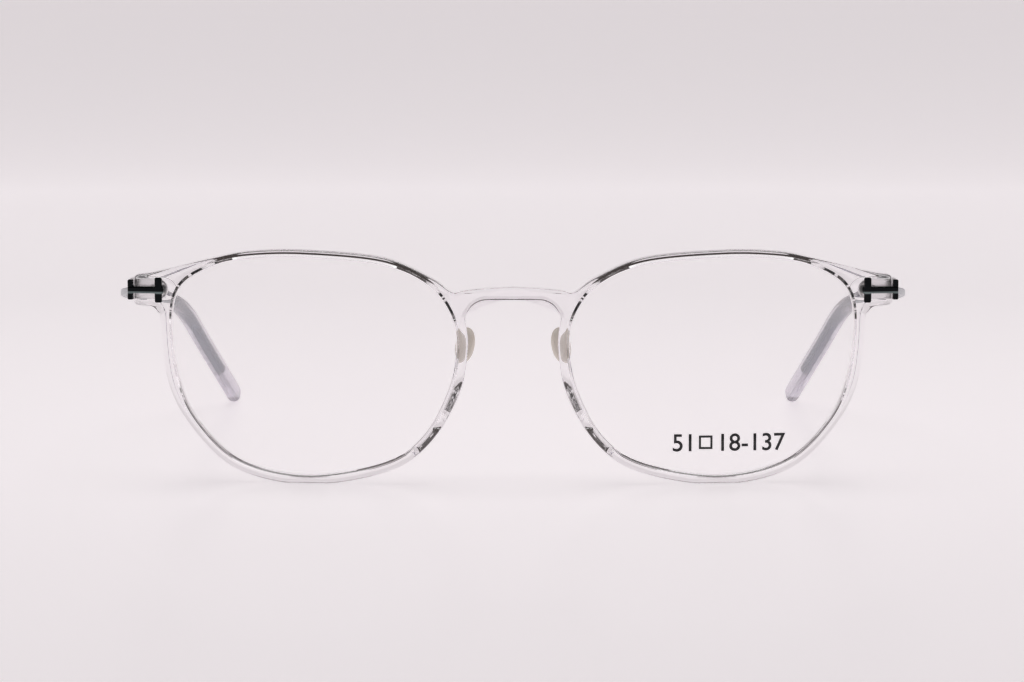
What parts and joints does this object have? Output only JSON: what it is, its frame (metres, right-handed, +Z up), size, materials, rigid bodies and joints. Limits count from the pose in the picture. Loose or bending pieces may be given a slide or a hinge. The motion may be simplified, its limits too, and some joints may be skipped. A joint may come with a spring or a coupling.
{
  "type": "eyeglasses frame",
  "caption": "Full-rim clear plastic eyeglasses frame with demo lenses, dark T-shaped corner trims, folding slim metal temples and clear ear tips",
  "frame": {"origin": "middle of the box round the open frame, on the surface that it stands on", "axes": "+X is the wearer's left and the viewer's right, +Y runs from the front towards the temple tips, +Z is up with the frame standing on its rims and tips"},
  "size_m": [0.1452, 0.1413, 0.0408],
  "materials": {
    "clear_plastic": "crystal clear, polished",
    "demo_lens": "clear uncoated demo lens",
    "pad_plastic": "translucent, softly polished",
    "trim_metal": "polished dark gunmetal",
    "hinge_metal": "satin nickel silver",
    "screw_steel": "turned steel",
    "arm_metal": "satin gunmetal wire",
    "tip_plastic": "clear with a faint violet tint, polished"
  },
  "bodies": {
    "front": {"front_frame": "clear_plastic", "lens_left": "demo_lens", "lens_right": "demo_lens", "nose_pad_left": "pad_plastic", "nose_pad_right": "pad_plastic", "corner_trim_left": "trim_metal", "corner_trim_right": "trim_metal", "hinge_leaf_left": "hinge_metal", "hinge_leaf_right": "hinge_metal", "hinge_rivet_upper_left": "hinge_metal", "hinge_rivet_upper_right": "hinge_metal", "hinge_rivet_lower_left": "hinge_metal", "hinge_rivet_lower_right": "hinge_metal", "hinge_screw_left": "screw_steel", "hinge_screw_right": "screw_steel"},
    "left_temple": {"temple_leaf_left": "hinge_metal", "temple_arm_left": "arm_metal", "temple_tip_left": "tip_plastic"},
    "right_temple": {"temple_leaf_right": "hinge_metal", "temple_arm_right": "arm_metal", "temple_tip_right": "tip_plastic"}
  },
  "joints": [
    {"name": "left_temple_hinge", "type": "hinge", "parent": "front", "child": "left_temple", "pos_m": [0.0649, -0.05845, 0.0336], "axis": [0, 0, 1], "range_deg": [0, 88]},
    {"name": "right_temple_hinge", "type": "hinge", "parent": "front", "child": "right_temple", "pos_m": [-0.0649, -0.05845, 0.0336], "axis": [0, 0, -1], "range_deg": [0, 81]}
  ]
}
